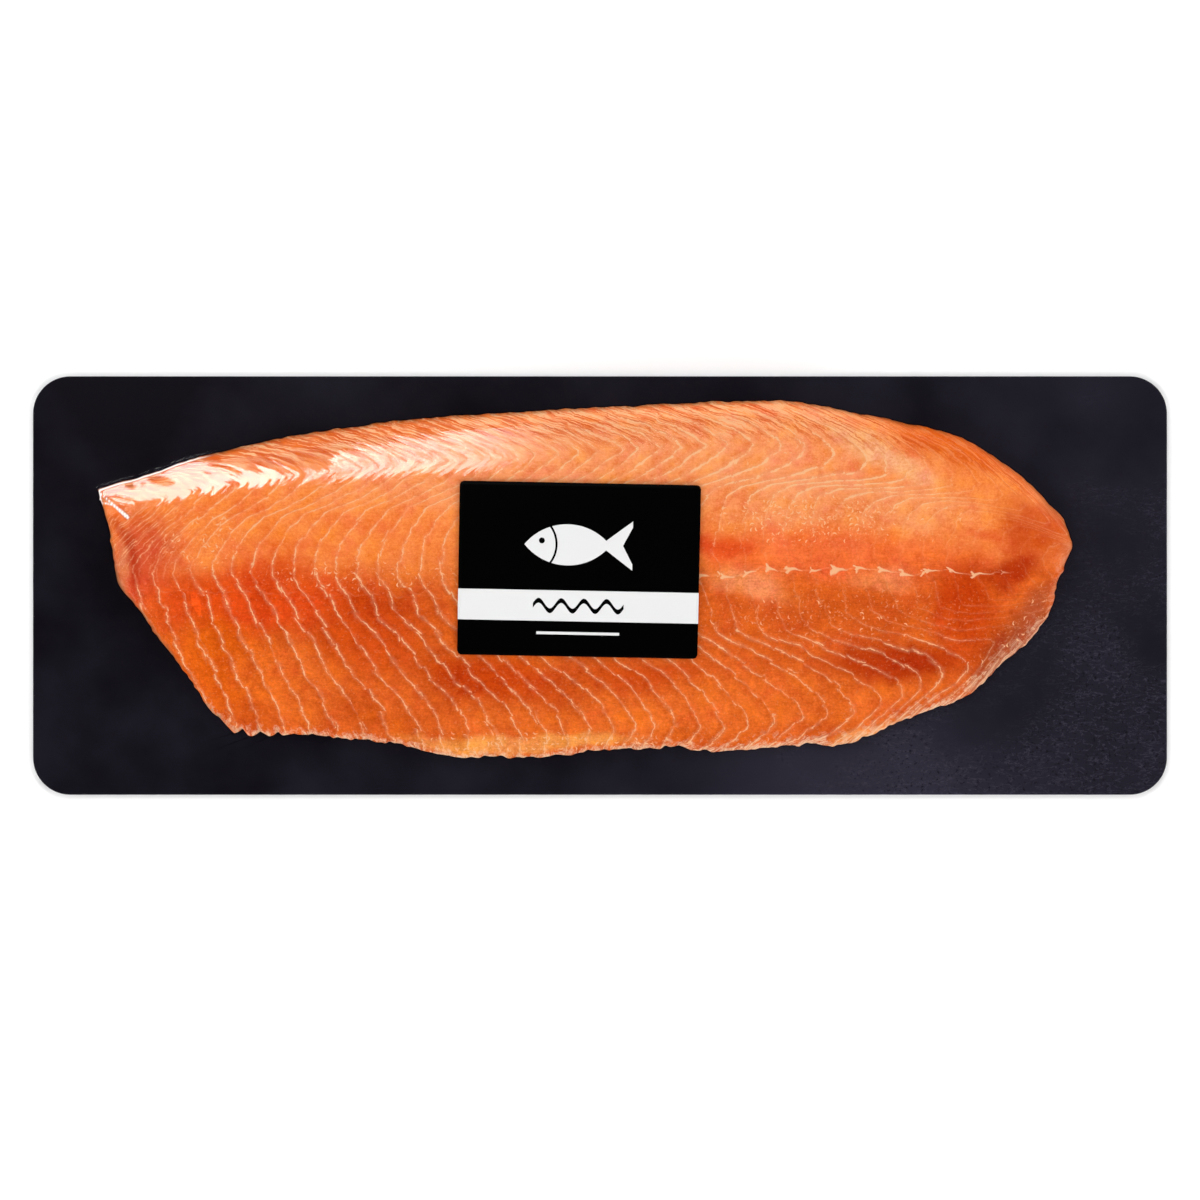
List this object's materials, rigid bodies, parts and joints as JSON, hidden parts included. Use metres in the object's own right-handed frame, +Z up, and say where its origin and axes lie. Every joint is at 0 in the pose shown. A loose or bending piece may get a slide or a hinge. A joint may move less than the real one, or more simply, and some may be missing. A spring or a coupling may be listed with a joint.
{
  "type": "vacuum skin pack of a smoked salmon side",
  "caption": "Whole side of smoked salmon lying on a thin dark backing board under clear vacuum skin film, with a dark label on top.",
  "frame": {"origin": "middle of the board's underside", "axes": "+X along the pack from the head end to the tail end, +Y towards the fish's back edge, +Z up out of the board"},
  "size_m": [0.58, 0.214, 0.0289],
  "materials": {
    "backing_board": "satin coated board under film",
    "salmon_flesh": "moist cured flesh with pale fat lines",
    "skin_film": "clear gloss vacuum film",
    "label_paper": "printed paper, semi-matt"
  },
  "bodies": {
    "root": {"board": "backing_board", "salmon_side": "salmon_flesh", "film": "skin_film", "label": "label_paper"}
  },
  "joints": []
}
